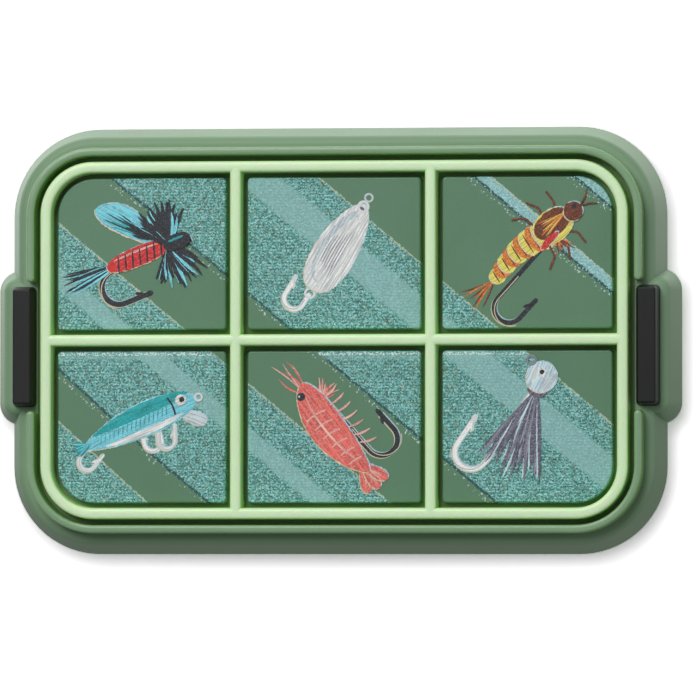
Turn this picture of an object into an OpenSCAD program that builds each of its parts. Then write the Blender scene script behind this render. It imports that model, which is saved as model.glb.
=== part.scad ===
// Shoe charm moulded in soft vinyl, in the form of a fly fishing tackle box with six
// compartments and two side latches. It faces +Z, +Y is the top edge of its face, and it
// stands on the flat end of the stud that pushes into a shoe's vent hole.

/* [Case] */
// Width of the case at its back face, without the side tabs
case_w = 38.3; // [36:0.1:42]
// Height of the case at its back face, from the lower edge to the upper edge
case_d = 24.8; // [24:0.1:28]
// Radius of the case's four corners at the back face
corner_r = 5.1; // [4.8:0.1:5.6]
// Thickness from the back face to the shoulder round the rim
shoulder_h = 2.2; // [2.1:0.1:2.6]
// How far the outside wall leans in over its height
wall_draft = 0.5; // [0.4:0.02:0.56]
// Rounding where the outside wall meets the shoulder
shoulder_round = 0.5; // [0.4:0.02:0.6]
// Thickness of the tray floor, behind the compartments
floor_h = 2; // [1.8:0.05:2.1]

/* [Side tabs] */
// Length of each side tab
tab_l = 9; // [8.6:0.1:10]
// How far each side tab stands out from the case
tab_out = 0.85; // [0.6:0.05:1.2]
// Radius of the side tab's corners
tab_r = 1.25; // [1.15:0.05:1.6]
// How far the tabs and latches sit below the middle of the face
latch_drop = 0.35; // [0:0.05:0.6]

/* [Rim] */
// Distance from the case's edge to the outer side of the rim bead
rim_inset = 1.22; // [1.2:0.02:1.4]
// Width of the rim bead at its top
rim_w = 0.46; // [0.44:0.02:0.6]
// Length of the gap in the rim bead where a latch stands
rim_gap_l = 7.5; // [7.4:0.1:8]

/* [Divider frame] */
// Height of the rim, the divider frame and the latches above the back face
top_h = 3.4; // [3.2:0.1:3.8]
// Clear groove between the rim bead and the divider frame
frame_gap = 0.35; // [0.3:0.01:0.45]
// Width of the divider frame's bars at their top
bar_w = 0.64; // [0.45:0.01:0.7]
// Distance from the middle of the face to each upright bar
upright_x = 5.68; // [5:0.01:6.5]

/* [Tiles] */
// Height of the printed tiles above the back face
tile_h = 2.7; // [2.5:0.05:2.9]
// Clear groove round each tile
tile_gap = 0.27; // [0.25:0.01:0.45]
// Radius of a tile's small corners
tile_r = 0.26; // [0.2:0.01:0.4]

/* [Latches] */
// Length of a latch at its foot
latch_l = 7; // [6.6:0.05:7.2]
// Width of a latch at its foot
latch_w = 1.4; // [1.3:0.02:1.46]
// Distance from the case's edge to the middle of a latch
latch_in = 0.95; // [0.9:0.01:0.98]
// Radius of a latch's corners
latch_r = 0.3; // [0.3:0.02:0.6]

/* [Stud] */
// Distance from the back face to the flat end of the stud
stud_h = 7.2; // [7:0.1:8]
// Diameter of the stud's neck
neck_d = 7; // [6:0.1:7.6]
// Diameter of the stud's head
head_d = 11; // [10:0.1:12]
// Thickness of the stud's head at its rim
head_h = 1.7; // [1.5:0.1:2]
// Diameter of the stud's disc where it shows in the back face
disc_d = 12.4; // [12.2:0.1:14]

/* [Hidden] */
$fn = 96;

case_green = "#6f9571";
tile_green = "#5b8065";
frame_green = "#c3e3ae";
latch_black = "#2a2b2c";

// Steps in each rounding
arc_steps = 6;

// Drafts and roundings of the moulded walls and edges
rim_draft = 0.04;
rim_round = 0.14;
bar_draft = 0.04;
bar_round = 0.18;
tile_draft = 0.04;
tile_round = 0.1;
latch_draft = 0.16;
latch_round = 0.1;
back_edge = 0.12;
// Slope at the side of a bar's crowned top, in degrees
crown = 7;

// Level strip between a pad's rounded edge and the plate that fills it
pad_strip = 0.02;
// How far a cutting shape reaches past what it cuts
cut_past = 1;

// Levels, counted from the flat end of the stud
back_z = stud_h;
floor_z = back_z + floor_h;
shoulder_z = back_z + shoulder_h;
top_z = back_z + top_h;
tile_z = back_z + tile_h;

// Depths to which the inlaid pieces are keyed into the base
rim_key = 0.6;
rim_key_w = 0.24;
frame_key = 0.6;
tile_key = 0.4;
latch_key = 0.8;

// Every ring of the face is concentric with the case's corners
half_w = case_w / 2;
half_d = case_d / 2;
rim_in = rim_inset + rim_w;
tray_in = rim_in + rim_draft;
frame_out = rim_in + frame_gap;
frame_in = frame_out + bar_w;
tile_out = frame_in + tile_gap;
rim_mid = rim_inset + rim_w / 2;
rim_end_y = rim_gap_l / 2 + rim_w / 2;

// Stud levels and radii
head_r = head_d / 2;
neck_r = neck_d / 2;
disc_r = disc_d / 2;
head_round = 0.8;
head_cone = 0.9;
neck_fillet = 0.4;
disc_step = 0.4;
disc_rim = 0.6;
dimple_r = 1.6;
dimple_h = 1.2;

// Points along an arc, from angle a0 to angle a1, without the first when skip is 1
function arc(cx, cy, r, a0, a1, skip = 0, n = arc_steps) =
    [for (i = [skip:n]) [cx + r * cos(a0 + (a1 - a0) * i / n), cy + r * sin(a0 + (a1 - a0) * i / n)]];

// Lean of a wall that runs into a rounding of radius r without a crease. The centre of the
// rounding is so far inwards and up from the wall's foot.
function lean(inwards, up, r) = atan2(up, -inwards) - acos(-r / norm([inwards, up]));

// Section of a moulded edge: a foot with upright sides up to z_mid, then a leaning wall and a
// rounded upper edge. x is the distance out from the outline at the foot, y is the height.
function edge_section(depth, z_low, z_mid, z_high, draft, round, low_edge = 0) = concat(
    [[-depth, z_low], [-low_edge, z_low], [0, z_low + low_edge], [0, z_mid]],
    arc(-draft - round, z_high - round, round, lean(draft + round, z_high - round - z_mid, round), 90),
    [[-depth, z_high]]
);

// One side of a raised bar of width w: a leaning flank, a rounded edge and the crowned top up to
// its middle line
function bar_side(w, z_mid, z_high, draft, round) =
    let (top_r = round + (w / 2 - round) / sin(crown), edge_z = z_high - top_r + (top_r - round) * cos(crown))
    concat(
        [[w / 2 + draft, z_mid]],
        arc(w / 2 - round, edge_z, round, lean(draft + round, edge_z - z_mid, round), 90 - crown),
        arc(0, z_high - top_r, top_r, 90 - crown, 90, 1)
    );

// One half of the section of a raised bar that stands on a key, for a bar's round end
function half_bar_section(w, key, z_low, z_mid, z_high, draft, round) =
    concat([[0, z_low], [key, z_low], [key, z_mid]], bar_side(w, z_mid, z_high, draft, round));

// The whole section: that half, then its mirror image without the two points they share
function bar_section(w, key, z_low, z_mid, z_high, draft, round) =
    let (half = half_bar_section(w, key, z_low, z_mid, z_high, draft, round), last = len(half) - 1)
    concat([for (i = [1:last]) half[i]], [for (i = [last - 1:-1:1]) [-half[i].x, half[i].y]]);

// Centres of a rounded outline's corners, counted anticlockwise from the upper right
function corner_at(i, hx, hy, radii) = [
    (i == 0 || i == 3 ? 1 : -1) * (hx - radii[i]),
    (i < 2 ? 1 : -1) * (hy - radii[i])
];

// Carries a section round an outline of half-sizes hx and hy, with four corner radii
module sweep(hx, hy, radii, section) {
    for (i = [0:3]) {
        here = corner_at(i, hx, hy, radii);
        next = corner_at((i + 1) % 4, hx, hy, radii);
        run_l = i % 2 == 0 ? abs(next.x - here.x) : abs(next.y - here.y);
        translate(here) {
            rotate(90 * i)
                rotate_extrude(angle = 90)
                    translate([radii[i], 0]) polygon(section);
            rotate(90 * (i + 1))
                translate([radii[i], run_l, 0]) rotate([90, 0, 0])
                    linear_extrude(run_l) polygon(section);
        }
    }
}

// Flat outline with four corner radii, any of which may be zero
module plate(hx, hy, radii) {
    difference() {
        square([2 * hx, 2 * hy], center = true);
        for (i = [0:3]) if (radii[i] > 0)
            translate(corner_at(i, hx, hy, radii)) rotate(90 * i) difference() {
                square(radii[i] + cut_past);
                circle(radii[i]);
            }
    }
}

// Solid pad whose edge has the section of edge_section()
module pad(hx, hy, radii, z_low, z_mid, z_high, draft, round, low_edge = 0) {
    depth = draft + round + pad_strip;
    sweep(hx, hy, radii, edge_section(depth, z_low, z_mid, z_high, draft, round, low_edge));
    translate([0, 0, z_low]) linear_extrude(z_high - z_low)
        plate(hx - depth, hy - depth, [for (r = radii) r - depth]);
}

// Outline of the case with its two side tabs, as one drafted block
module case_block() {
    pad(half_w, half_d, [for (i = [0:3]) corner_r], back_z, back_z + back_edge, shoulder_z,
        wall_draft, shoulder_round, back_edge);
    translate([0, -latch_drop, 0])
        pad(half_w + tab_out, tab_l / 2, [for (i = [0:3]) tab_r], back_z, back_z + back_edge,
            shoulder_z, wall_draft, shoulder_round, back_edge);
}

// Everything that is inlaid in the base, with the hollow of the tray above its floor
module inlays() {
    translate([0, 0, floor_z]) linear_extrude(top_h)
        plate(half_w - tray_in, half_d - tray_in, [for (i = [0:3]) corner_r - tray_in]);
    rim_upper();
    rim_lower();
    divider_frame();
    for (column = [-1:1], row = [-1, 1]) tile(column, row);
    for (side = [-1, 1]) latch(side);
    stud();
}

module base() {
    color(case_green) difference() {
        case_block();
        inlays();
    }
}

// One half of the rim bead: the part above or below the latches, with round ends
module rim(side) {
    key = rim_key_w / 2;
    z_low = shoulder_z - rim_key;
    end_y = side * rim_end_y - latch_drop;
    section = bar_section(rim_w, key, z_low, shoulder_z, top_z, rim_draft, rim_round);
    intersection() {
        sweep(half_w - rim_mid, half_d - rim_mid, [for (i = [0:3]) corner_r - rim_mid], section);
        translate([-half_w, side > 0 ? end_y : end_y - case_d, back_z])
            cube([case_w, case_d, top_h + cut_past]);
    }
    for (x = [-1, 1])
        translate([x * (half_w - rim_mid), end_y, 0]) rotate(side > 0 ? 180 : 0)
            rotate_extrude(angle = 180)
                polygon(half_bar_section(rim_w, key, z_low, shoulder_z, top_z, rim_draft, rim_round));
}

module rim_upper() {
    color(case_green) rim(1);
}

module rim_lower() {
    color(case_green) rim(-1);
}

// Outer ring, one cross bar and two uprights, keyed into the tray floor
module divider_frame() {
    ring_mid = frame_out + bar_w / 2;
    bar = bar_section(bar_w, bar_w / 2, floor_z - frame_key, floor_z, top_z, bar_draft, bar_round);
    bar_l = 2 * (half_w - ring_mid);
    upright_l = 2 * (half_d - ring_mid);
    color(frame_green) {
        sweep(half_w - ring_mid, half_d - ring_mid, [for (i = [0:3]) corner_r - ring_mid], bar);
        translate([bar_l / 2, 0, 0]) rotate([90, 0, -90]) linear_extrude(bar_l) polygon(bar);
        for (side = [-1, 1])
            translate([side * upright_x, upright_l / 2, 0]) rotate([90, 0, 0])
                linear_extrude(upright_l) polygon(bar);
    }
}

// Printed tile of one compartment: column -1, 0 or 1 from the left, row 1 above and -1 below
module tile(column, row) {
    bar_half = bar_w / 2 + tile_gap;
    far_x = half_w - tile_out;
    near_x = upright_x + bar_half;
    hx = column == 0 ? upright_x - bar_half : (far_x - near_x) / 2;
    hy = (half_d - tile_out - bar_half) / 2;
    cx = column * (far_x + near_x) / 2;
    cy = row * (half_d - tile_out + bar_half) / 2;
    outer = column == 0 ? -1 : row > 0 ? (column > 0 ? 0 : 1) : (column > 0 ? 3 : 2);
    translate([cx, cy, 0])
        pad(hx, hy, [for (i = [0:3]) i == outer ? corner_r - tile_out : tile_r],
            floor_z - tile_key, floor_z, tile_z, tile_draft, tile_round);
}

// Latch block standing in the gap of the rim bead: side -1 is the left one
module latch(side) {
    translate([side * (half_w - latch_in), -latch_drop, 0])
        pad(latch_w / 2, latch_l / 2, [for (i = [0:3]) latch_r], shoulder_z - latch_key, shoulder_z,
            top_z, latch_draft, latch_round);
}

module tile_top_left() {
    color(tile_green) tile(-1, 1);
}

module tile_top_middle() {
    color(tile_green) tile(0, 1);
}

module tile_top_right() {
    color(tile_green) tile(1, 1);
}

module tile_bottom_left() {
    color(tile_green) tile(-1, -1);
}

module tile_bottom_middle() {
    color(tile_green) tile(0, -1);
}

module tile_bottom_right() {
    color(tile_green) tile(1, -1);
}

module latch_left() {
    color(latch_black) latch(-1);
}

module latch_right() {
    color(latch_black) latch(1);
}

// Push-in stud: a dimpled head, a neck, and a stepped disc that the base is moulded round
module stud() {
    shoulder = head_h + head_cone;
    color(case_green) rotate_extrude() polygon(concat(
        [[0, dimple_h], [dimple_r, dimple_h], [dimple_r, 0]],
        arc(head_r - head_round, head_round, head_round, -90, 0),
        [[head_r, head_h], [neck_r + neck_fillet, shoulder]],
        arc(neck_r + neck_fillet, shoulder + neck_fillet, neck_fillet, 270, 180),
        arc(neck_r + neck_fillet, back_z - neck_fillet, neck_fillet, 180, 90),
        [
            [disc_r, back_z], [disc_r, back_z + disc_step],
            [disc_r + disc_rim, back_z + disc_step], [disc_r + disc_rim, back_z + 2 * disc_step],
            [0, back_z + 2 * disc_step]
        ]
    ));
}

base();
rim_upper();
rim_lower();
divider_frame();
tile_top_left();
tile_top_middle();
tile_top_right();
tile_bottom_left();
tile_bottom_middle();
tile_bottom_right();
latch_left();
latch_right();
stud();
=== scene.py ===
# %% [markdown]
# # A moulded shoe charm in the form of a fly fishing box
# The real thing is 40 mm long: a charm of soft vinyl whose stud is pushed into a vent hole of a clog.
# Coloured vinyl is poured into a mould cell by cell and baked, and the six raised tiles are printed
# afterwards. The packed model holds every moulded piece at its real size, so this lesson works on the
# looks: how soft vinyl takes the light, how a fine print sits on it, and how its figures are drawn.
# X is the charm's right, Y its far side, which is the top of the picture, and Z is up from the stud.

# %% Load the fixed frame
import math
import random

import bmesh
import bpy
from mathutils import Matrix, Vector


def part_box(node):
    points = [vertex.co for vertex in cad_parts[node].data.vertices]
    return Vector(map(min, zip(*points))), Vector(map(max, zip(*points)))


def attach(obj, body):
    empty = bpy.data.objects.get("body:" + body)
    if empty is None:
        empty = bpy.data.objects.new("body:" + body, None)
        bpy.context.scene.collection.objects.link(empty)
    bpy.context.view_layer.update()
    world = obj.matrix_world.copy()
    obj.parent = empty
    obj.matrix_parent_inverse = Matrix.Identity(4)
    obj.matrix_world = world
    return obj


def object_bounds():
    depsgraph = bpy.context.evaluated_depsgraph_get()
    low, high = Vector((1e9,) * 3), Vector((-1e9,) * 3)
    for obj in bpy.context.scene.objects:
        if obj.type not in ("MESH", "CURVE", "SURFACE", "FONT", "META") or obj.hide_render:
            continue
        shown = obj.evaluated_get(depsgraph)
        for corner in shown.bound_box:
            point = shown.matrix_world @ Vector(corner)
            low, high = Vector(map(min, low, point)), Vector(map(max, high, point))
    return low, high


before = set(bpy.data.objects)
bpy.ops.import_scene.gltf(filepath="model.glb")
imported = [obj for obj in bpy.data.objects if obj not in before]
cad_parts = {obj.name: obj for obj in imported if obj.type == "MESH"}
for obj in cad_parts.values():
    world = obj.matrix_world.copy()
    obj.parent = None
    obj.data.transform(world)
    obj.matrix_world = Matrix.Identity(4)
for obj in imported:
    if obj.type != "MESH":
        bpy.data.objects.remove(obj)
cad_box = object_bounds()
MM = 0.001
RIGHT, FAR, UP = (1, 0, 0), (0, 1, 0), (0, 0, 1)
print("nodes:", ", ".join(sorted(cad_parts)))
print("size in mm:", [round((b - a) / MM, 2) for a, b in zip(*cad_box)])

# %% [markdown]
# ## Shader maths as plain expressions
# A material is a graph of small nodes, and a sum of three terms already takes two of them. One class
# that wraps an output socket and overloads the arithmetic operators lets us write the sum as a sum:
# each operator adds its Math node. Colours don't go through Math nodes, which would turn them grey,
# but through a Mix node. Every other node comes from one method, `add`.

# %% A number that varies over the surface
class Value:
    """A node's output socket. Arithmetic on it adds Math nodes to the material."""

    def __init__(self, finish, socket):
        self.finish, self.socket = finish, socket

    def math(self, operation, *others):
        return self.finish.add("ShaderNodeMath", {"operation": operation}, [self, *others])

    def __add__(self, other):
        return self.math("ADD", other)

    def __mul__(self, other):
        return self.math("MULTIPLY", other)

    def __sub__(self, other):
        return self.math("SUBTRACT", other)

    def __rsub__(self, other):
        return self.finish.add("ShaderNodeMath", {"operation": "SUBTRACT"}, [other, self])

    __radd__ = __add__
    __rmul__ = __mul__

    def most(self, other):
        return self.math("MAXIMUM", other)

    def sibling(self, name):
        """Another output of the same node."""
        return Value(self.finish, self.socket.node.outputs[name])

    def rise(self, start, end):
        """0 below start, 1 above end, and a soft slope between them."""
        settings = {"interpolation_type": "SMOOTHSTEP"}
        inputs = {"Value": self, "From Min": start, "From Max": end}
        return self.finish.add("ShaderNodeMapRange", settings, inputs)

    def between(self, low, high, blur):
        """1 from low to high, with edges that are blur wide."""
        begun, ended = [self.rise(edge - blur / 2, edge + blur / 2) for edge in (low, high)]
        return begun * (1 - ended)


print("a value can also:", [name for name in vars(Value) if not name.startswith("_")])

# %% A material and the one method that adds its nodes
class Finish:
    """A material under construction, with its Principled shader and its object coordinates."""

    def __init__(self, name, **constants):
        self.material = bpy.data.materials.new(name)
        self.material.use_nodes = True
        self.nodes, self.links = self.material.node_tree.nodes, self.material.node_tree.links
        self.nodes.clear()
        self.shader = self.nodes.new("ShaderNodeBsdfPrincipled")
        self.shade(**constants)
        self.add("ShaderNodeOutputMaterial", {}, {"Surface": Value(self, self.shader.outputs["BSDF"])})
        self.place = self.add("ShaderNodeTexCoord", {}, {}, "Object")

    def set(self, node, inputs):
        for name, value in (inputs.items() if isinstance(inputs, dict) else enumerate(inputs)):
            if isinstance(value, Value):
                self.links.new(value.socket, node.inputs[name])
            else:
                node.inputs[name].default_value = value

    def add(self, kind, settings, inputs, output=0):
        """Adds a node: its settings first, then its inputs, and gives the output that is asked for."""
        node = self.nodes.new(kind)
        for name, value in settings.items():
            if name != "stops":
                setattr(node, name, value)
        for index, (position, color) in enumerate(settings.get("stops", [])):
            ramp = node.color_ramp.elements
            element = ramp[index] if index < len(ramp) else ramp.new(position)
            element.position, element.color = position, color
        self.set(node, inputs)
        return Value(self, node.outputs[output]) if len(node.outputs) else None

    def noise(self, cell, detail=2):
        """Cloudy noise from 0 to 1, whose clouds are about one cell wide."""
        inputs = {"Vector": self.place, "Scale": 1 / cell, "Detail": detail}
        return self.add("ShaderNodeTexNoise", {}, inputs)

    def dots(self, cell):
        """Three random numbers for each of the small cells that a fine print is made of."""
        inputs = {"Vector": self.place, "Scale": 1 / cell, "Randomness": 0.8}
        color = self.add("ShaderNodeTexVoronoi", {}, inputs, "Color")
        red = self.add("ShaderNodeSeparateColor", {}, {"Color": color}, "Red")
        return red, red.sibling("Green"), red.sibling("Blue")

    def rows(self, pitch):
        """The fine ridges that a print head leaves: a wave across the rows, from -1 to 1."""
        return (self.along(FAR) * (2 * math.pi / pitch)).math("SINE")

    def along(self, direction):
        """How far a point lies along a direction, in mm."""
        inputs = [self.place, tuple(c / MM for c in direction)]
        return self.add("ShaderNodeVectorMath", {"operation": "DOT_PRODUCT"}, inputs, "Value")

    def facing(self, direction):
        """How far the surface faces a direction: 1 squarely, 0 edge on, and -1 the other way."""
        inputs = [self.add("ShaderNodeNewGeometry", {}, {}, "Normal"), direction]
        return self.add("ShaderNodeVectorMath", {"operation": "DOT_PRODUCT"}, inputs, "Value")

    def ramp(self, share, stops):
        """A colour that goes through the stops, given as (position, colour), as share goes from 0 to 1."""
        return self.add("ShaderNodeValToRGB", {"stops": stops}, {"Fac": share})

    def mix(self, share, a, b):
        """The colour a, with b laid over it by a share from 0 to 1."""
        return self.add("ShaderNodeMix", {"data_type": "RGBA"}, {"Factor": share, 6: a, 7: b}, 2)

    def bump(self, height, depth):
        """A normal for relief of that height map, depth metres deep."""
        return self.add("ShaderNodeBump", {}, {"Height": height, "Distance": depth}, "Normal")

    def shade(self, **inputs):
        """Feeds values to the shader's own sockets, which are named with spaces."""
        self.set(self.shader, {name.replace("_", " "): value for name, value in inputs.items()})
        return self.material


print("a finish can:", [name for name in vars(Finish) if not name.startswith("_")])

# %% Colours as an eye sees them
def srgb(red, green, blue):
    """A colour given as an eye sees it, 0 to 255, in the linear values that nodes take."""
    return tuple((c / 255) ** 2.2 for c in (red, green, blue)) + (1,)


def scaled(color, share):
    """A colour with its light multiplied by a share, and no brighter than white."""
    return tuple(min(1, c * share) for c in color[:3]) + (1,)


print("black, middle grey and white:", srgb(0, 0, 0), srgb(128, 128, 128), srgb(255, 255, 255))

# %% [markdown]
# ## Moulded vinyl
# Soft vinyl is dull, a little cloudy in colour and never quite flat: the pigment is stirred in by
# hand and the mould's walls are lightly blasted. So its colour gets a slow drift and a fine grain,
# its roughness gets a patchy drift, and a bump of a few micrometres breaks up the highlights. The
# noises read Object coordinates, so they stay on the piece and go round its corners.
#
# Light also goes some tenths of a millimetre into the paler vinyls and comes out greener, which is what
# the subsurface sockets do. On a bar half a millimetre wide that isn't all: its steep flanks are lit
# through the bar and by the green beside it, and that light is painted into their colour as a deeper
# green, by how little the surface faces up. The floor of the case's tray, seen only down its narrow
# grooves, gets painted shade: a darker, yellower green where the surface faces up and lies lower than the
# shoulder round it.

# %% A finish for any colour of vinyl
VINYL_IOR = 1.5
CLOUD, GRAIN, GRAIN_DEPTH = 4 * MM, 0.12 * MM, 0.003 * MM
GLOW_DEPTH = 0.4 * MM
GLOW_COLORS = (0.6, 1.0, 0.35)
CLOUD_ROUGH, GRAIN_ROUGH = 0.1, 0.06
PAINTED_FLANK_STEEPNESS, PAINTED_PIT_LEVEL = (0.05, 0.5), (0.9, 0.95)
PAINTED_PIT_TOP = (9.25, 9.35)


def vinyl(name, color, painted_flank_light=None, painted_pit_shade=None, roughness=0.5, drift=0.06, glow=0.0, specular=0.5):
    finish = Finish(
        name,
        IOR=VINYL_IOR,
        Specular_IOR_Level=specular,
        Subsurface_Weight=glow,
        Subsurface_Scale=GLOW_DEPTH,
        Subsurface_Radius=GLOW_COLORS,
    )
    cloud, grain = finish.noise(CLOUD), finish.noise(GRAIN, 3)
    shade = finish.mix(cloud * 0.6 + grain * 0.4, scaled(color, 1 - drift), scaled(color, 1 + drift))
    # Painted light: steep faces get a deeper green for the light that reaches them through the bar and
    # from the green beside it.
    if painted_flank_light:
        shade = finish.mix((1 - finish.facing(UP)).rise(*PAINTED_FLANK_STEEPNESS), shade, painted_flank_light)
    # Painted shade: the tray's floor, low down in the grooves, gets a darker, yellower green.
    if painted_pit_shade:
        tray = finish.facing(UP).rise(*PAINTED_PIT_LEVEL) * (1 - finish.along(UP).rise(*PAINTED_PIT_TOP))
        shade = finish.mix(tray, shade, painted_pit_shade)
    rough = roughness + CLOUD_ROUGH * (cloud - 0.5) + GRAIN_ROUGH * (grain - 0.5)
    return finish.shade(Base_Color=shade, Roughness=rough, Normal=finish.bump(grain, GRAIN_DEPTH))


print("light goes", GLOW_DEPTH / MM, "mm into the paler vinyls")

# %% The vinyls of this charm
# The flank colours below are painted light, and the case's pit colour is painted shade.
case_green = vinyl("case_vinyl_moulded", srgb(117, 148, 116), painted_pit_shade=srgb(98, 130, 76))
rim_green = vinyl(
    "rim_vinyl_moulded", srgb(130, 163, 128), painted_flank_light=srgb(120, 164, 98),
    roughness=0.3, glow=0.3,
)
frame_green = vinyl(
    "frame_vinyl_moulded", srgb(218, 246, 202), painted_flank_light=srgb(196, 246, 156),
    roughness=0.35, drift=0.02, glow=0.6,
)
latch_black = vinyl("latch_vinyl_moulded", srgb(24, 25, 25), roughness=0.4, specular=0.3)
print("vinyl finishes:", [m.name for m in (case_green, rim_green, frame_green, latch_black)])

# %% [markdown]
# ## The stripes on the tiles
# The tiles are bare dark green vinyl, crossed by slanting stripes of print that imitate the glare on
# a lid. A texture painted on each tile would have to be lined up with its neighbours. Here every
# stripe is instead a band of the distance up one slanting line, so the stripes go on from tile to
# tile, as they do on the real charm, where the whole face is printed at once. A little noise on that
# distance frays their edges, and in the lower left corner the print has stretched upwards a little.

# %% Where the stripes lie, in mm up the slant
SLANT = math.radians(40)
UP_SLANT = (math.sin(SLANT), math.cos(SLANT), 0)
STRIPES = [(-22, -14.2), (-12, -5.1), (-1.22, 6.68), (12.36, 13.12), (16.1, 24)]
SHINES = [(-8.1, -7.05), (3.45, 5.2)]
GLOSSY_CORNER = (11.5, 12)
FRAY, FRAY_DEPTH = 0.12 * MM, 0.2
STRETCH_X, STRETCH_Y, STRETCH = (-17, -10), (-1, 1), 0.28


def up_the_slant(finish):
    """How far a point of the print lies up the slant, in mm."""
    fray = finish.noise(FRAY, 1) - 0.5
    corner = (1 - finish.along(RIGHT).rise(*STRETCH_X)) * (1 - finish.along(FAR).rise(*STRETCH_Y))
    return finish.along(UP_SLANT) + FRAY_DEPTH * fray - STRETCH * corner


print("stripes' widths in mm:", [round(high - low, 2) for low, high in STRIPES])

# %% [markdown]
# ## The dots of the print
# An inkjet prints such a grey-blue in fine dots of light and dark teal, with now and then a tan one.
# A Voronoi texture gives each dot-sized cell a random colour. Its red channel picks the teal from a
# ramp, together with a faint wave for the rows that the print head leaves, and its green channel
# picks the rare tan dots. Bands of glare cross the stripes, paler and with less contrast, and the
# upper right corner of the face is printed paler too.

# %% The colour inside a stripe
DOT, ROW_PITCH = 0.07 * MM, 0.173
DOT_SHARE, ROW_SHARE = 0.82, 0.09
TAN_DOTS, TAN_SHARE = (0.92, 0.94), 0.7
SHINE_BLUR, SHINE_SHARE, CORNER_SHARE = 0.25, 0.64, 0.4
TEALS = [
    (0.0, srgb(32, 78, 70)),
    (0.3, srgb(68, 128, 119)),
    (0.55, srgb(98, 165, 159)),
    (0.8, srgb(133, 200, 198)),
    (1.0, srgb(170, 226, 225)),
]
TAN, PALE_TEAL, CORNER_TEAL = srgb(146, 142, 112), srgb(146, 194, 192), srgb(186, 234, 242)


def highest(values):
    """The largest of some values at each point."""
    top = values[0]
    for value in values[1:]:
        top = top.most(value)
    return top


def dotted_teal(finish, up, pick, chance):
    color = finish.ramp(DOT_SHARE * pick + ROW_SHARE * finish.rows(ROW_PITCH) + ROW_SHARE, TEALS)
    color = finish.mix(chance.rise(*TAN_DOTS) * TAN_SHARE, color, TAN)
    shine = highest([up.between(*band, SHINE_BLUR) for band in SHINES])
    color = finish.mix(shine * SHINE_SHARE, color, PALE_TEAL)
    return finish.mix(up.rise(*GLOSSY_CORNER) * CORNER_SHARE, color, CORNER_TEAL)


print("teals between the darkest and the lightest dot:", len(TEALS))

# %% [markdown]
# ## The edges of the print
# The inks don't register exactly. That leaves a dark line along the lower edge of each stripe, with pale
# stray dots outside it, and a cream line along the upper edge. The third channel of the dots leaves gaps
# in both lines. Along the upper edge of the lower tiles the print catches the light, which is painted in
# as a paler band, a painted highlight; there the print also ends in a row of white dots, so that edge gets
# a band of its own, measured down from the tiles' upper edge.

# %% The edges of the stripes
DARK_EDGE, CREAM_EDGE, SPRAY = srgb(30, 80, 78), srgb(196, 196, 160), srgb(214, 238, 235)
CRISP = 0.02
DARK_WIDTH, CREAM_WIDTH, SPRAY_WIDTH = 0.16, 0.1, 0.3
FEW_GAPS, MANY_GAPS, SPRAY_DOTS = (0.1, 0.2), (0.4, 0.5), (0.88, 0.92)


def edged(finish, color, up, chance, gaps):
    """The colour with the stripes' edges, and where there is ink: 0 on bare vinyl, 1 in a stripe."""
    inked = highest([up.between(*stripe, CRISP) for stripe in STRIPES])
    for low, high in STRIPES:
        dark = up.between(low, low + DARK_WIDTH, 0.05) * gaps.rise(*FEW_GAPS)
        color = finish.mix(dark, color, DARK_EDGE)
        cream = up.between(high - CREAM_WIDTH, high + CRISP, 0.03) * gaps.rise(*MANY_GAPS)
        color = finish.mix(cream * 0.8, color, CREAM_EDGE)
        spray = up.between(low - SPRAY_WIDTH, low - CRISP, 0.1) * chance.rise(*SPRAY_DOTS)
        color = finish.mix(spray * 0.7, color, SPRAY)
        inked = inked.most(spray)
    return color, inked


print("a stripe's dark line is", DARK_WIDTH, "mm wide, and its cream one", CREAM_WIDTH, "mm")

# %% The upper edge of the lower tiles
ROW_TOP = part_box("tile_bottom_left")[1][1] / MM
ROW_ROUND, PAINTED_GLARE_END, FRAYED_END = 0.1, 0.55, 0.3
FRAYED_DOTS = (0.58, 0.66)


def painted_glare_and_dots_at_row_top(finish, color, chance):
    height = finish.along(FAR)
    # Painted highlight: a paler band where the print catches the light below the tiles' upper edge.
    glare = height.between(ROW_TOP - PAINTED_GLARE_END, ROW_TOP - ROW_ROUND, 0.15)
    color = finish.mix(glare * 0.4, color, PALE_TEAL)
    row = height.between(ROW_TOP - FRAYED_END, ROW_TOP - ROW_ROUND, 0.04)
    frayed = row * chance.rise(*FRAYED_DOTS)
    return finish.mix(frayed, color, SPRAY)


print("the lower tiles end at y =", round(ROW_TOP, 2), "mm")

# %% The tiles' finish
BARE_TILE = srgb(86, 125, 97)
BARE_DRIFT = (0.93, 1.2)
TILE_ROUGH, INK_ROUGH = 0.36, 0.1


def printed_tile():
    finish = Finish("tile_vinyl_printed", IOR=VINYL_IOR, Specular_IOR_Level=0.5)
    cloud, grain = finish.noise(CLOUD), finish.noise(GRAIN, 3)
    dark, light = [scaled(BARE_TILE, share) for share in BARE_DRIFT]
    bare = finish.mix(cloud * 0.4 + grain * 0.6, dark, light)
    pick, chance, gaps = finish.dots(DOT)
    up = up_the_slant(finish)
    color, inked = edged(finish, dotted_teal(finish, up, pick, chance), up, chance, gaps)
    color = painted_glare_and_dots_at_row_top(finish, color, chance)
    rough = TILE_ROUGH + CLOUD_ROUGH * (cloud - 0.5) + INK_ROUGH * inked
    relief = finish.bump(grain * 0.4 + inked, GRAIN_DEPTH)
    return finish.shade(Base_Color=finish.mix(inked, bare, color), Roughness=rough, Normal=relief)


tile_green = printed_tile()
print("nodes in the tiles' material:", len(tile_green.node_tree.nodes))

# %% [markdown]
# ## Dress the moulded pieces
# Every packed piece already has one material slot. The first word of its name says which vinyl was
# poured for it, so a small table is enough. The stud, which the case is moulded round, is as green.

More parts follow.
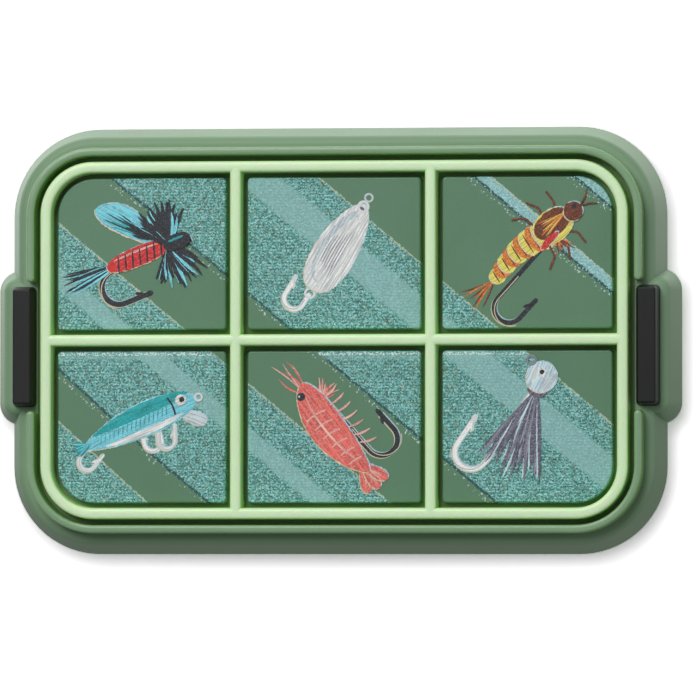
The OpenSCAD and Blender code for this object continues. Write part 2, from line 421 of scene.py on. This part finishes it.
# %% Put the finishes on the moulded pieces
VINYLS = {
    "base": case_green,
    "rim": rim_green,
    "divider": frame_green,
    "tile": tile_green,
    "latch": latch_black,
    "stud": case_green,
}
for name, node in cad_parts.items():
    node.material_slots[0].material = VINYLS[name.split("_")[0]]
print("dressed pieces:", len(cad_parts))

# %% [markdown]
# ## Inks
# Each printed figure is drawn in a few inks. A fine print never lays down an even colour: its dots
# leave specks of a lighter or a darker ink in it. So an ink is a colour with a second one sprinkled
# in by the same dot-sized cells as above. Feathers and skins are also streaked along their length.
# The pen stores in an attribute, `stroke`, how far each point lies along its stroke and across it,
# in mm, and a noise that is slow along the stroke and quick across it makes the streaks.

# %% A finish for any ink
FIBRES = (0.7, 11, 1)
STREAKS = 0.35


def ink(name, color, specks, share=0.25):
    finish = Finish("ink_" + name, IOR=VINYL_IOR, Specular_IOR_Level=0.4, Roughness=0.45)
    pick, blend, _ = finish.dots(DOT)
    stroke = finish.add("ShaderNodeAttribute", {"attribute_name": "stroke"}, {}, "Vector")
    fibres = finish.add("ShaderNodeVectorMath", {"operation": "MULTIPLY"}, [stroke, FIBRES])
    fibre = finish.add("ShaderNodeTexNoise", {}, {"Vector": fibres, "Scale": 1, "Detail": 1})
    body = finish.mix(fibre.rise(0.25, 0.75), scaled(color, 1 - STREAKS), scaled(color, 1 + STREAKS))
    sprinkled = (pick + 0.08 * finish.rows(ROW_PITCH)).rise(0.9 - share, 1.1 - share)
    return finish.shade(Base_Color=finish.mix(sprinkled * (0.3 + 0.5 * blend), body, specks))


print("streaks per mm across a stroke:", FIBRES[1])

# %% The inks
INKS = {
    "black": ink("black", srgb(33, 36, 42), srgb(70, 78, 88)),
    "cyan": ink("cyan", srgb(112, 200, 216), srgb(160, 224, 232)),
    "teal": ink("teal", srgb(24, 158, 160), srgb(70, 184, 190)),
    "red": ink("red", srgb(206, 38, 44), srgb(236, 104, 96)),
    "white": ink("white", srgb(226, 231, 228), srgb(205, 214, 214)),
    "mist": ink("mist", srgb(188, 202, 208), srgb(214, 222, 224)),
    "yellow": ink("yellow", srgb(226, 210, 92), srgb(238, 230, 150)),
    "orange": ink("orange", srgb(214, 108, 48), srgb(228, 170, 80), 0.35),
    "brown": ink("brown", srgb(98, 52, 36), srgb(150, 84, 50), 0.35),
    "coral": ink("coral", srgb(222, 100, 92), srgb(236, 150, 140), 0.35),
    "pink": ink("pink", srgb(238, 168, 158), srgb(244, 200, 190)),
    "sky": ink("sky", srgb(190, 214, 226), srgb(216, 230, 236)),
    "slate": ink("slate", srgb(84, 84, 104), srgb(150, 148, 160), 0.4),
    "smoke": ink("smoke", srgb(142, 144, 156), srgb(98, 94, 108), 0.4),
    "cream": ink("cream", srgb(216, 204, 172), srgb(196, 190, 160)),
    "ice": ink("ice", srgb(172, 204, 214), srgb(196, 220, 226)),
}
print("inks:", len(INKS))

# %% [markdown]
# ## Coats of ink
# A figure could be painted in a texture, but then it would blur up close. Here it is a stack of thin
# plates of ink, each a micrometre higher than the one under it, as printed coats are. A stroke is
# drawn flat, near the origin. `lay` then extrudes it into a closed plate, whose underside is sunk in
# the crowned tile, and moves it to its place on the tile. It finds the new stroke as the only part
# of the mesh that still has open edges.

# %% A stack of coats on one tile
COAT = 0.001
SUNK = 0.02


class Coats:
    """A figure on one tile. Lengths are in mm, and angles are in degrees from the figure's own +X."""

    def __init__(self, name, turn, at=(0, 0), size=1.0):
        low, high = (Vector(corner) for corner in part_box("tile_" + name))
        middle = Vector(((low.x + high.x) / 2, (low.y + high.y) / 2, high.z))
        self.place = Matrix.Translation(middle) @ Matrix.Scale(MM * size, 4) @ Matrix.Translation((*at, 0))
        self.turn = Matrix.Rotation(math.radians(turn), 4, "Z")
        self.name, self.mesh, self.inks, self.coats = name, bmesh.new(), [], 0
        self.stroke = self.mesh.verts.layers.float_vector.new("stroke")

    def lay(self, ink_name, shift=0):
        """Makes the flat shape just drawn into the next coat, shifted in x and y alike."""
        flat = [v for v in self.mesh.verts if v.is_boundary]
        faces = list({face for v in flat for face in v.link_faces})
        raised = bmesh.ops.extrude_face_region(self.mesh, geom=faces, use_keep_orig=True)["geom"]
        top = [v for v in raised if isinstance(v, bmesh.types.BMVert)]
        self.coats += 1
        bmesh.ops.translate(self.mesh, verts=top, vec=(0, 0, self.coats * COAT + SUNK))
        plate = top + flat
        bmesh.ops.translate(self.mesh, verts=plate, vec=(0, 0, -SUNK))
        solid = list({face for v in plate for face in v.link_faces})
        bmesh.ops.recalc_face_normals(self.mesh, faces=solid)
        if ink_name not in self.inks:
            self.inks.append(ink_name)
        for face in solid:
            face.material_index = self.inks.index(ink_name)
        place = self.place @ Matrix.Translation((shift, shift, 0)) @ self.turn
        bmesh.ops.transform(self.mesh, matrix=place, verts=plate)

    def finish(self):
        piece = bpy.data.objects.new("print_" + self.name, bpy.data.meshes.new("print_" + self.name))
        self.mesh.to_mesh(piece.data)
        self.mesh.free()
        for name in self.inks:
            piece.data.materials.append(INKS[name])
        bpy.context.scene.collection.objects.link(piece)
        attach(piece, "root")
        print(piece.name, "has", self.coats, "plates and", len(piece.data.polygons), "faces")


print("coats are", COAT, "mm apart and go", SUNK, "mm into the tile")

# %% [markdown]
# ## Three strokes
# Three strokes are enough for all the figures. A *blade* is a circle that is stretched to a length,
# pinched towards its ends and bent: a feather, a body, a fin. A *wire* is a short edge that is
# carried along a path: extruded where it runs straight and spun where it turns. A *ring* is bridged
# from two circles. A print's outline is a little rough, so the rim points of a blade are shaken
# sideways by up to 0.03 mm, and less near its tips, where the two sides would cross. Under the larger
# strokes, a cream copy and a pale blue one peep out at opposite sides, because the inks of the real
# print don't register.

# %% The pen
SHAKE = 0.028
RIM_STEP = 0.07
FRINGES = (("cream", -0.045), ("ice", 0.045))
rng = random.Random(7)


def heading_vector(degrees):
    return Vector((math.cos(math.radians(degrees)), math.sin(math.radians(degrees)), 0))


def passes(ink_name, fringe):
    """The coats that make one stroke, as (ink, shift): a fringe puts two shifted copies under it."""
    return [*(FRINGES if fringe else ()), (ink_name, 0)]


class Pen(Coats):
    """Draws single strokes, each in its own coat."""

    def blade(self, ink_name, at, heading, length, width, pinch=1.0, belly=1.0, bend=0.0, fringe=False):
        """A feather or a body. A larger pinch makes its ends sharper, and belly moves its widest part."""
        for coat, shift in passes(ink_name, fringe):
            count = max(12, int(2 * length / RIM_STEP))
            rim = bmesh.ops.create_circle(self.mesh, cap_ends=True, radius=1, segments=count)["verts"]
            shake = min(SHAKE, width / 12)
            for v in rim:
                share = ((1 + v.co.x) / 2) ** belly
                side = math.copysign(abs(v.co.y) ** pinch, v.co.y) * width / 2
                bow = 4 * bend * share * (1 - share)
                rough = rng.uniform(-1, 1) * min(shake, 0.4 * abs(side))
                v[self.stroke] = (share * length, side, self.coats)
                v.co = Vector((share * length, side + bow + rough, 0))
            swing = Matrix.Translation((*at, 0)) @ Matrix.Rotation(math.radians(heading), 4, "Z")
            bmesh.ops.transform(self.mesh, matrix=swing, verts=rim)
            self.lay(coat, shift)

    def spot(self, ink_name, at, radius, fringe=False):
        self.blade(ink_name, (at[0] - radius, at[1]), 0, 2 * radius, 2 * radius, fringe=fringe)

    def ring(self, ink_name, at, radius, width):
        place = Matrix.Translation((*at, 0))
        edges = set()
        for r in (radius, radius - width):
            circle = bmesh.ops.create_circle(self.mesh, radius=r, segments=24, matrix=place)["verts"]
            edges.update(edge for v in circle for edge in v.link_edges)
        bmesh.ops.bridge_loops(self.mesh, edges=list(edges))
        self.lay(ink_name)

    def wire(self, ink_name, at, heading, width, path, fringe=False):
        """A wire that follows a path of (length, turn): straight where the turn is 0, and else an arc."""
        for coat, shift in passes(ink_name, fringe):
            place, angle = Vector((*at, 0)), heading
            across = heading_vector(angle + 90) * width / 2
            ends = [self.mesh.verts.new(place + across), self.mesh.verts.new(place - across)]
            ends[0][self.stroke] = (0, width, self.coats)
            edge = self.mesh.edges.new(ends)
            for length, turn in path:
                if turn:
                    centre = place + heading_vector(angle + 90) * length / math.radians(turn)
                    grown = bmesh.ops.spin(
                        self.mesh, geom=[edge, *edge.verts], cent=centre, axis=UP,
                        angle=math.radians(turn), steps=max(2, int(length / RIM_STEP)), use_merge=False,
                    )["geom_last"]
                    place = centre + Matrix.Rotation(math.radians(turn), 3, "Z") @ (place - centre)
                    angle += turn
                else:
                    run = heading_vector(angle) * length
                    grown = bmesh.ops.extrude_edge_only(self.mesh, edges=[edge])["geom"]
                    ends = [g for g in grown if isinstance(g, bmesh.types.BMVert)]
                    bmesh.ops.translate(self.mesh, verts=ends, vec=run)
                    place = place + run
                edge = next(g for g in grown if isinstance(g, bmesh.types.BMEdge) and g.is_boundary)
            self.lay(coat, shift)


print("a stroke with a fringe has", len(passes("black", True)), "coats")

# %% [markdown]
# ## Fans and hooks
# Hackle, tails and skirts are the same thing at different sizes: fibres that spread from one point. A
# loop of thin blades with a little chance in their length, direction and bend makes them all. A hook
# is one wire, straight, round and straight again, with two short blades for its point and barb and a
# thin pale wire for the gleam along the inside of its bend.

# %% The pen's two compound strokes
HALF_TURN = 180
GLEAM_TURN = 150
BARB_ANGLE = 28


class Print(Pen):
    """A pen that also draws what most tackle has."""

    def fan(self, ink_names, at, heading, spread, count, lengths, width, bend=0.0):
        """Fibres that spread from one point, drawn with each of the inks in turn."""
        for strand in range(count):
            way = heading + spread * (strand / (count - 1) - 0.5) + rng.uniform(-2, 2)
            ink_name, length = ink_names[strand % len(ink_names)], rng.uniform(*lengths)
            self.blade(ink_name, at, way, length, width, pinch=1.2, bend=rng.uniform(-bend, bend))

    def hook(self, ink_name, at, heading, shank, bend, point, width=0.26, side=-1, gleam="cream"):
        """A fish hook: a shank, a round bend to one side with a gleam inside it, a point and a barb."""
        path = [(shank, 0), (math.pi * bend, side * HALF_TURN), (point, 0)]
        self.wire(ink_name, at, heading, width, path, fringe=True)
        ahead, left = heading_vector(heading), heading_vector(heading + 90)
        inner = 0.22 * width
        start = Vector((*at, 0)) + ahead * shank * 0.6 + left * side * inner
        path = [(shank * 0.4, 0), (math.pi * (bend - inner), side * GLEAM_TURN)]
        self.wire(gleam, start.xy, heading, 0.2 * width, path)
        tip = Vector((*at, 0)) + ahead * (shank - point) + left * (2 * side * bend)
        self.blade(ink_name, (tip + ahead * 0.12).xy, heading + HALF_TURN, 0.5, width * 1.05, pinch=0.8)
        barb = (tip - ahead * 0.02).xy
        self.blade(ink_name, barb, heading - side * BARB_ANGLE, 0.55, width * 0.7, pinch=0.8)


print("a hook bends by", HALF_TURN, "degrees")

# %% [markdown]
# ## A bushy dry fly
# The figures are six plain pieces of tackle, in colours that suit the charm. Each is drawn with its
# head to the right and then turned, and is built from the tail up, as a fly is tied: what lies
# underneath comes first. The dry fly has a tail of stiff fibres, an upright wing with a dark fan on
# it, a ribbed red body, and a ruff of black and blue hackle on both sides of its head.

# %% Draw the dry fly
fly = Print("top_left", 22, at=(0.0, -0.15), size=1.18)
fly.hook("black", (2.6, -0.1), 180, 4.2, 0.85, 1.1, side=1)
fly.fan(("black", "black", "cyan"), (-1.2, 0.1), 180, 22, 15, (2.2, 3.0), 0.11, bend=0.1)
fly.blade("cyan", (0.9, 0.3), 128, 3.5, 1.35, pinch=1.2, belly=0.75, bend=-0.25, fringe=True)
fly.fan(("teal", "black"), (0.8, 0.6), 128, 22, 13, (1.4, 2.7), 0.07, bend=0.05)
fly.fan(("black",), (0.85, 0.6), 132, 26, 7, (1.0, 1.7), 0.14, bend=0.05)
fly.blade("red", (-1.8, 0.1), 0, 3.4, 0.95, pinch=0.8, fringe=True)
fly.blade("pink", (-1.4, 0.33), 0, 2.4, 0.1, bend=0.04)
for rib in range(7):
    fly.blade("black", (-1.35 + 0.38 * rib, -0.36), 72, 0.88, 0.09)
for side in (-90, 90):
    fly.fan(("black", "black", "cyan", "black"), (1.45, 0.05), side, 86, 34, (1.4, 2.3), 0.17, bend=0.12)
fly.blade("black", (1.2, 0.05), 0, 1.4, 0.8, pinch=0.8)
fly.blade("teal", (1.5, 0.2), 0, 0.8, 0.12)
fly.finish()

# %% [markdown]
# ## A spoon lure
# A spoon is a pressed oval of bright metal that wobbles as it is pulled. Three blades, each inside
# the one before and a little off its middle, give its dished face, and thin grey lines along it the
# brushed metal. A ring joins it to the hook at one end, and two more take the line at the other.

# %% Draw the spoon
spoon = Print("top_middle", 58, at=(0.1, 0.1))
spoon.hook("white", (-2.9, 0), 180, 0.7, 0.6, 0.9, width=0.28, side=-1, gleam="mist")
spoon.ring("white", (-2.85, 0), 0.34, 0.14)
spoon.blade("white", (-2.6, 0), 0, 5.8, 2.5, pinch=1.15, belly=1.35, fringe=True)
spoon.blade("mist", (-2.1, 0.02), 2, 4.7, 1.75, pinch=1.2, belly=1.3)
spoon.blade("white", (-2.05, -0.08), 0, 4.4, 1.5, pinch=1.2, belly=1.3)
for line in range(7):
    spoon.blade("smoke", (-1.6 + 0.1 * line, -0.5 + 0.16 * line), 2, 3.2 - 0.24 * line, 0.05, bend=0.06)
spoon.spot("slate", (2.85, 0), 0.16)
spoon.ring("white", (3.05, 0), 0.36, 0.14)
spoon.ring("mist", (3.65, 0), 0.28, 0.12)
spoon.finish()

# %% [markdown]
# ## A nymph
# A nymph is a fly in the form of a young insect. Its tail comes first, and then its body, a row of
# overlapping rings that grow towards the chest along a slow curve, in two colours by turns. The legs
# go over the rings and under the wing case, and the head with its feelers comes last.

# %% Draw the nymph
nymph = Print("top_right", 38, at=(0.1, 0.2), size=1.08)
nymph.hook("black", (1.0, -0.35), 190, 4.0, 0.8, 1.0, side=1)
nymph.fan(("brown", "orange"), (-2.5, -0.2), 184, 44, 7, (1.3, 2.0), 0.1, bend=0.12)
for ring in range(10):
    size = 0.9 + 0.095 * ring
    middle = (-2.65 + 0.4 * ring, 0.35 * math.sin(math.radians(18 * ring)) - 0.1)
    nymph.blade("orange" if ring % 2 else "yellow", middle, 0, 0.9, size, pinch=0.9, fringe=ring % 2 == 0)
    nymph.blade("brown", (middle[0] + 0.3, middle[1] - size * 0.4), 84, size * 0.8, 0.08)
for leg in range(3):
    for side in (-1, 1):
        start = (1.0 + 0.45 * leg, 0.1 + side * 0.4)
        nymph.wire("brown", start, side * (100 - 30 * leg), 0.12, [(0.75, 0), (0.3, side * 50), (0.6, 0)])
nymph.fan(("orange", "brown"), (1.6, -0.3), -96, 60, 9, (0.7, 1.3), 0.08, bend=0.08)
nymph.blade("yellow", (0.6, 0.15), 0, 2.3, 1.75, pinch=0.8, fringe=True)
nymph.blade("brown", (0.7, 0.28), 0, 2.2, 1.35, pinch=0.9)
nymph.fan(("orange", "yellow", "orange"), (2.75, 0.32), 180, 30, 9, (1.2, 1.9), 0.07)
nymph.blade("red", (0.5, -0.45), 8, 1.3, 0.35, fringe=True)
nymph.spot("brown", (3.1, 0.1), 0.52, fringe=True)
nymph.spot("black", (3.3, 0.28), 0.13)
for side in (-1, 1):
    nymph.blade("brown", (3.4, 0.1), side * 26, 1.1, 0.1, bend=side * -0.1)
nymph.finish()

# %% [markdown]
# ## A minnow plug
# A plug is a small wooden fish with a lip that makes it dive. Its body is a single bent blade, with a
# dark back and a pale belly laid over it, and a mesh of short slanting lines for the scales. Three
# hooks hang from it, and the lip is a pale blade under its chin.

# %% Draw the plug
plug = Print("bottom_left", 24, at=(-0.1, 0.2))
for side in (-1, 1):
    plug.hook("white", (0.9, -0.5), -106 - 6 * side, 0.9, 0.5, 0.65, width=0.24, side=side, gleam="mist")
plug.hook("white", (-3.3, 0.05), -150, 0.8, 0.5, 0.6, width=0.24, side=1, gleam="mist")
plug.blade("mist", (2.5, -0.5), -42, 1.5, 0.75, pinch=0.8, belly=0.8, fringe=True)
plug.blade("cyan", (-3.7, 0), 0, 7.3, 1.95, pinch=1.15, belly=0.8, bend=0.12, fringe=True)
plug.blade("teal", (-2.9, 0.42), 1, 6.2, 0.75, pinch=1.2, belly=0.8, bend=0.2)
plug.blade("white", (-2.4, -0.38), -1, 5.0, 0.36, pinch=1.2, bend=-0.16)
for scale in range(16):
    for side in (-1, 1):
        plug.blade("teal", (-2.6 + 0.28 * scale, 0.02 - side * 0.2), 90 - side * 28, 0.5, 0.05)
plug.fan(("teal", "cyan"), (-3.2, 0.05), 176, 60, 9, (0.7, 1.1), 0.1)
plug.wire("black", (2.05, 0.72), -70, 0.1, [(1.1, -35)])
plug.spot("white", (2.75, 0.28), 0.3, fringe=True)
plug.spot("black", (2.8, 0.28), 0.16)
plug.ring("white", (3.75, 0), 0.26, 0.11)
plug.finish()

# %% [markdown]
# ## A shrimp fly
# The shrimp is the plug's body again, bent more, with curved wires across it for the joints of its
# shell and one pale blade along its back. Its tail is three short blades, and its feelers and legs
# are fans and single fibres.

# %% Draw the shrimp
shrimp = Print("bottom_middle", 128, at=(0.0, -0.05), size=1.1)
shrimp.hook("black", (1.6, -0.5), 184, 3.7, 0.85, 1.0, side=1)
shrimp.fan(("pink", "coral"), (2.3, 0.1), 4, 34, 6, (1.6, 2.4), 0.08, bend=0.2)
shrimp.fan(("coral", "pink"), (1.6, -0.3), -70, 70, 14, (0.7, 1.3), 0.08, bend=0.1)
for leg in range(7):
    shrimp.blade("pink", (-1.4 + 0.5 * leg, -0.55), -112 + 5 * leg, 1.0, 0.12, bend=-0.08)
for spread in (-26, 0, 26):
    shrimp.blade("coral", (-2.5, 0), 178 + spread, 1.5, 0.6, pinch=0.9, belly=0.75, fringe=True)
    shrimp.fan(("pink",), (-2.7, 0), 178 + spread, 14, 4, (0.8, 1.15), 0.05)
shrimp.blade("coral", (-3.0, -0.05), 0, 5.9, 1.9, pinch=1.15, belly=0.85, bend=0.35, fringe=True)
for shell in range(6):
    shrimp.wire("pink", (-2.1 + 0.62 * shell, -0.22), 70, 0.08, [(0.75 + 0.09 * shell, 28)])
shrimp.blade("pink", (-2.2, 0.05), 2, 4.4, 0.12, bend=0.3)
shrimp.spot("black", (2.35, 0.38), 0.22)
shrimp.spot("mist", (2.42, 0.45), 0.06)
shrimp.finish()

# %% [markdown]
# ## A skirted jig
# A jig is a round lead head on a hook, with a skirt of rubber strands that hides the hook's shank.
# The skirt is two fans from the same collar, a long dark one with a short pale one on it, and the
# head is a spot with two pale blades for its shine.

# %% Draw the jig
jig = Print("bottom_right", 66, at=(-0.2, 0.25), size=1.2)
jig.hook("white", (1.9, 0.1), 170, 4.5, 0.8, 1.3, side=-1, gleam="mist")
jig.fan(("slate", "smoke", "slate", "sky", "slate"), (1.75, 0), 184, 44, 40, (3.3, 4.7), 0.17, bend=0.15)
jig.fan(("sky", "slate", "smoke"), (1.75, 0), 184, 18, 12, (2.2, 3.4), 0.1, bend=0.1)
jig.blade("slate", (1.3, 0), 0, 0.75, 0.95, pinch=0.6)
jig.spot("sky", (2.3, 0.05), 0.75, fringe=True)
jig.blade("mist", (1.75, -0.28), -14, 1.0, 0.42)
jig.blade("white", (1.85, 0.36), 8, 0.85, 0.22)
jig.spot("white", (2.5, 0.12), 0.22)
jig.spot("black", (2.53, 0.12), 0.12)
jig.ring("smoke", (2.85, 0.82), 0.27, 0.11)
jig.finish()

# %% [markdown]
# ## Camera
# The charm is photographed face on from about half a metre with a long lens, a little from its right
# and a trace from its near side. So the camera is placed by two small angles from the face's normal,
# and it aims at the point of the face that is in the middle of the picture. Its up direction is the
# charm's own, so nothing is tilted. A lens is longer the smaller the field that it has to fill, so
# the lens follows from the distance and the width of the picture at the charm.

# %% The camera
DISTANCE = 480 * MM
SIDEWAYS, DOWNWARDS = math.radians(7), math.radians(1.4)
FIELD = 40.45 * MM
AIM = Vector((1.02 * MM, -0.605 * MM, cad_box[1].z))

camera = bpy.data.objects.new("camera", bpy.data.cameras.new("camera"))
bpy.context.scene.collection.objects.link(camera)
bpy.context.scene.camera = camera
toward = Vector((math.sin(SIDEWAYS), -math.sin(DOWNWARDS), math.cos(SIDEWAYS) * math.cos(DOWNWARDS)))
toward.normalize()
right = Vector(FAR).cross(toward).normalized()
above = toward.cross(right)
place = AIM + toward * DISTANCE
camera.matrix_world = Matrix([*zip(right, above, toward, place), (0, 0, 0, 1)])
camera.data.lens = camera.data.sensor_width * DISTANCE / FIELD
print("lens in mm:", round(camera.data.lens, 1))

# %% [markdown]
# ## White paper
# The charm stands on its stud on white paper, and its shadow has to stay on a page that is otherwise quite
# white. A stronger lamp would also throw more light up from the paper, so the white comes from Light Path:
# to a camera ray the paper is nearly three times as bright as to the light that bounces off it, which
# makes up for its weak lamp. That white has a trace less green in it, because the charm throws some of its
# own green on the paper. What the charm mirrors is a third shade, with light and shade painted into it: to
# reflected rays the paper is painted brighter than the page beyond the far edge, a painted light that
# gives the walls facing it their sheen, and dim on the near side, a painted shade.

# %% The floor
PAPER, PAINTED_MIRROR_SHADE, PAINTED_MIRROR_LIGHT = [(level, level, level, 1) for level in (1.0, 0.95, 5.2)]
WHITE = (2.87, 2.76, 2.87, 1)
MIRROR_GRADE_WAY, MIRROR_GRADE_RISE = (-0.1, 1, 0), (-12, 20)

finish = Finish("floor_paper", Roughness=0.9, Specular_IOR_Level=0.1)
camera_ray = finish.add("ShaderNodeLightPath", {}, {}, "Is Camera Ray")
# Painted light and shade for reflected rays: bright beyond the far edge, dim on the near side.
painted_mirror_light_and_shade = finish.mix(finish.along(MIRROR_GRADE_WAY).rise(*MIRROR_GRADE_RISE), PAINTED_MIRROR_SHADE, PAINTED_MIRROR_LIGHT)
bounced = finish.mix(camera_ray.sibling("Is Glossy Ray"), PAPER, painted_mirror_light_and_shade)
paper = finish.mix(camera_ray.most(camera_ray.sibling("Is Transmission Ray")), bounced, WHITE)
bpy.ops.mesh.primitive_plane_add(size=4)
floor = bpy.context.object
floor.name = "floor"
floor.data.materials.append(finish.shade(Base_Color=paper))
print("the paper is", floor.dimensions.x, "m wide")

# %% [markdown]
# ## Lamps
# Three big softboxes light the charm and not the paper. The key light, beyond the far edge and a
# little to the left, makes the walls that face it bright and leaves the grooves behind the bars
# dark. A low light beyond the far edge fills the outer wall there, and a weak one at the right opens
# the shadows. They would lay long shadows on the paper, which product pictures avoid by lighting
# the backdrop on its own. Light linking does the same: a small lamp almost overhead lights nothing
# but the paper. Its shadow falls right under the charm, and the camera sees a soft rim of it along
# the right and near edges.

# %% The lamps
CHARM_BOX, CHARM_REACH = 0.28, 0.6
PAPER_BOX, PAPER_REACH = 0.072, 0.45
CHARM_LAMPS = [("key", 2.3, 120, 60), ("low_light", 0.5, 100, 10), ("side_light", 0.35, 0, 30)]
PAPER_LAMP = ("paper_lamp", 0.515, 25, 85)


def softbox(name, watts, azimuth, elevation, size, distance, floor_state):
    """A square lamp that looks at the charm. Azimuth 0 is the charm's right, and 90 is its far side."""
    lamp = bpy.data.objects.new(name, bpy.data.lights.new(name, "AREA"))
    lamp.data.size, lamp.data.energy = size, watts
    a, e = math.radians(azimuth), math.radians(elevation)
    away = Vector((math.cos(a) * math.cos(e), math.sin(a) * math.cos(e), math.sin(e)))
    lamp.location = away * distance
    lamp.rotation_euler = away.to_track_quat("Z", "Y").to_euler()
    bpy.context.scene.collection.objects.link(lamp)
    lit = bpy.data.collections.new(name + "_lights")
    lit.objects.link(floor)
    lit.collection_objects[0].light_linking.link_state = floor_state
    lamp.light_linking.receiver_collection = lit


for lamp in CHARM_LAMPS:
    softbox(*lamp, CHARM_BOX, CHARM_REACH, "EXCLUDE")
softbox(*PAPER_LAMP, PAPER_BOX, PAPER_REACH, "INCLUDE")
print("lamps:", [light.name for light in bpy.data.lights])

# %% [markdown]
# ## The room
# A little white light from all sides keeps the deepest grooves from going black. A camera ray that
# misses the paper sees the same white at full strength, so that the page goes on above the horizon
# when the charm is seen from the side.

# %% The surroundings
FILL, PAGE = 0.2, 1.0
world = bpy.data.worlds.new("studio")
bpy.context.scene.world = world
world.use_nodes = True
studio = world.node_tree
path = studio.nodes.new("ShaderNodeLightPath")
level = studio.nodes.new("ShaderNodeMapRange")
level.inputs["To Min"].default_value = FILL
level.inputs["To Max"].default_value = PAGE
studio.links.new(path.outputs["Is Camera Ray"], level.inputs["Value"])
studio.links.new(level.outputs["Result"], studio.nodes["Background"].inputs["Strength"])
studio.nodes["Background"].inputs["Color"].default_value = (1, 1, 1, 1)
bpy.context.scene.view_settings.view_transform = "Standard"
print("light from all sides:", FILL)

# %% [markdown] ## The size Blender dresses the charm and doesn't resize it, so the box round the finished pieces has to be the box that was loaded.
